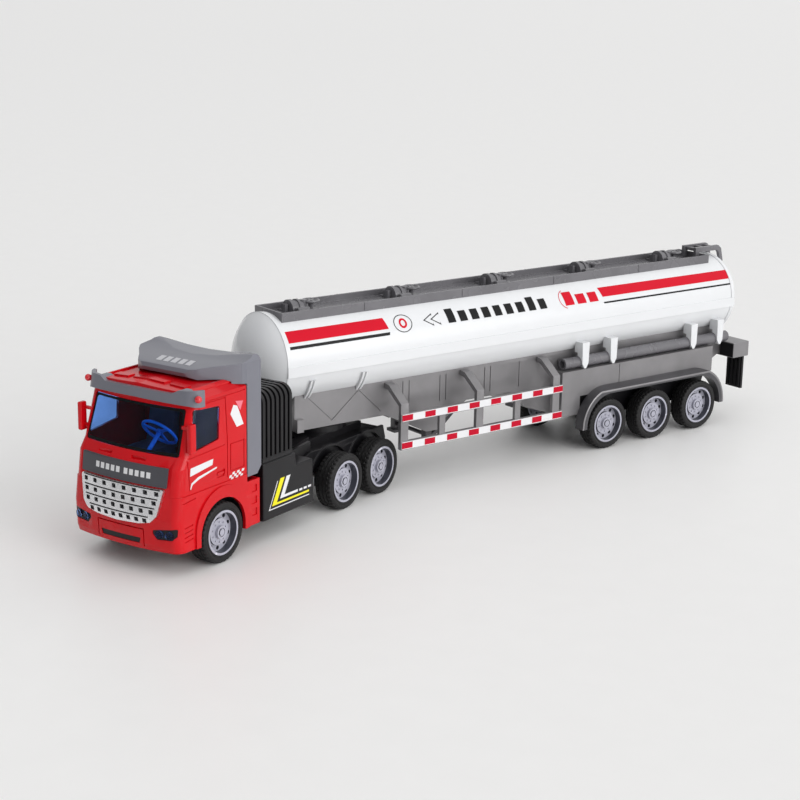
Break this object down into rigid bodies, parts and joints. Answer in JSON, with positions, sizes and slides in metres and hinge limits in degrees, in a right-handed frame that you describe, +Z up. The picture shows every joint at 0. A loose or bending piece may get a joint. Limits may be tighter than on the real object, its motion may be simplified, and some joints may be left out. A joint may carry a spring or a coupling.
{
  "type": "toy articulated tanker truck",
  "caption": "Toy articulated tanker truck: red cab-over tractor hinged to a white round-tank semi-trailer, with rolling wheels and a friction drive in the tractor.",
  "frame": {"origin": "centre of the whole toy's footprint on the floor, with the tractor turned 18.8 degrees as posed", "axes": "+Z up; the trailer lies along Y with its nose and the tractor towards -Y; +X is the trailer's left side"},
  "size_m": [0.1132, 0.4338, 0.0992],
  "materials": {
    "red_body": "glossy red moulded plastic",
    "red_front": "deeper glossy red on the nose",
    "grey_plastic": "satin grey",
    "dark_grey": "satin dark grey",
    "black_chassis": "satin black",
    "blue_clear": "clear blue plastic with a black printed border",
    "dark_window": "dark blue clear plastic",
    "bright_slats": "bright silver",
    "lamp_blue": "clear blue lens",
    "lamp_red": "glossy red beads",
    "steering_blue": "glossy bright blue",
    "white_tank": "glossy white with printed stripes",
    "silver_frame": "satin silver grey",
    "rim_silver": "satin silver lilac",
    "tyre_black": "matt black",
    "steel": "bright steel",
    "tape_rail": "grey rails with printed red and white blocks"
  },
  "bodies": {
    "trailer": {"trailer_chassis": "silver_frame", "trailer_ledges": "silver_frame", "trailer_bogie": "dark_grey", "tank_upper": "white_tank", "tank_lower": "white_tank", "catwalk": "grey_plastic", "manhole_covers": "grey_plastic", "rear_ladder": "grey_plastic", "kingpin": "steel", "landing_gear": "dark_grey", "rear_bumper": "silver_frame", "mudflaps": "black_chassis", "hose_tubes": "grey_plastic", "trailer_screws": "steel", "side_guard_left": "tape_rail", "side_guard_right": "tape_rail", "fender_left": "dark_grey", "fender_right": "dark_grey"},
    "tractor": {"tractor_chassis": "black_chassis", "cab_shell": "red_body", "lower_body": "red_body", "windscreen": "blue_clear", "side_windows": "dark_window", "grille": "bright_slats", "grille_header": "dark_grey", "front_insert": "black_chassis", "headlamps": "lamp_blue", "sun_visor": "grey_plastic", "visor_lamps": "lamp_red", "roof_deflector": "grey_plastic", "mirrors": "red_body", "cab_interior": "dark_grey", "steering_wheel": "steering_blue", "intake_block": "black_chassis", "fifth_wheel": "black_chassis", "rear_skirts": "black_chassis", "gearbox_case": "black_chassis", "tractor_screws": "steel", "side_tanks": "black_chassis"},
    "front_wheels": {"front_axle": "steel", "front_rims": "rim_silver", "front_tyres": "tyre_black"},
    "drive_1_wheels": {"drive_1_axle": "steel", "drive_1_rims": "rim_silver", "drive_1_tyres": "tyre_black", "drive_gear": "dark_grey"},
    "drive_2_wheels": {"drive_2_axle": "steel", "drive_2_rims": "rim_silver", "drive_2_tyres": "tyre_black"},
    "trailer_1_wheels": {"trailer_1_axle": "steel", "trailer_1_rims": "rim_silver", "trailer_1_tyres": "tyre_black"},
    "trailer_2_wheels": {"trailer_2_axle": "steel", "trailer_2_rims": "rim_silver", "trailer_2_tyres": "tyre_black"},
    "trailer_3_wheels": {"trailer_3_axle": "steel", "trailer_3_rims": "rim_silver", "trailer_3_tyres": "tyre_black"},
    "idler": {"idler_gear": "dark_grey"},
    "flywheel": {"flywheel": "steel"}
  },
  "joints": [
    {"name": "tractor_swing", "type": "hinge", "parent": "trailer", "child": "tractor", "pos_m": [-0.01762, -0.07405, 0.0364], "axis": [0, 0, 1], "range_deg": [-98.8, 61.2]},
    {"name": "front_spin", "type": "hinge", "parent": "tractor", "child": "front_wheels", "pos_m": [0.01828, -0.17951, 0.014], "axis": [0.9466, 0.3223, 0], "continuous": true},
    {"name": "drive_1_spin", "type": "hinge", "parent": "tractor", "child": "drive_1_wheels", "pos_m": [-0.01198, -0.09062, 0.014], "axis": [0.9466, 0.3223, 0], "continuous": true},
    {"name": "drive_2_spin", "type": "hinge", "parent": "tractor", "child": "drive_2_wheels", "pos_m": [-0.02194, -0.06137, 0.014], "axis": [0.9466, 0.3223, 0], "continuous": true},
    {"name": "idler_spin", "type": "hinge", "parent": "tractor", "child": "idler", "pos_m": [-0.01488, -0.08209, 0.01879], "axis": [0.9466, 0.3223, 0], "continuous": true},
    {"name": "flywheel_spin", "type": "hinge", "parent": "tractor", "child": "flywheel", "pos_m": [-0.01817, -0.07244, 0.01879], "axis": [0.9466, 0.3223, 0], "continuous": true},
    {"name": "trailer_1_spin", "type": "hinge", "parent": "trailer", "child": "trailer_1_wheels", "pos_m": [-0.01762, 0.09935, 0.014], "axis": [1, 0, 0], "continuous": true},
    {"name": "trailer_2_spin", "type": "hinge", "parent": "trailer", "child": "trailer_2_wheels", "pos_m": [-0.01762, 0.13505, 0.014], "axis": [1, 0, 0], "continuous": true},
    {"name": "trailer_3_spin", "type": "hinge", "parent": "trailer", "child": "trailer_3_wheels", "pos_m": [-0.01762, 0.17075, 0.014], "axis": [1, 0, 0], "continuous": true}
  ],
  "couplings": [
    {"joint": "idler_spin", "follows": "drive_1_spin", "ratio": -2.4},
    {"joint": "flywheel_spin", "follows": "drive_1_spin", "ratio": 5.76}
  ]
}
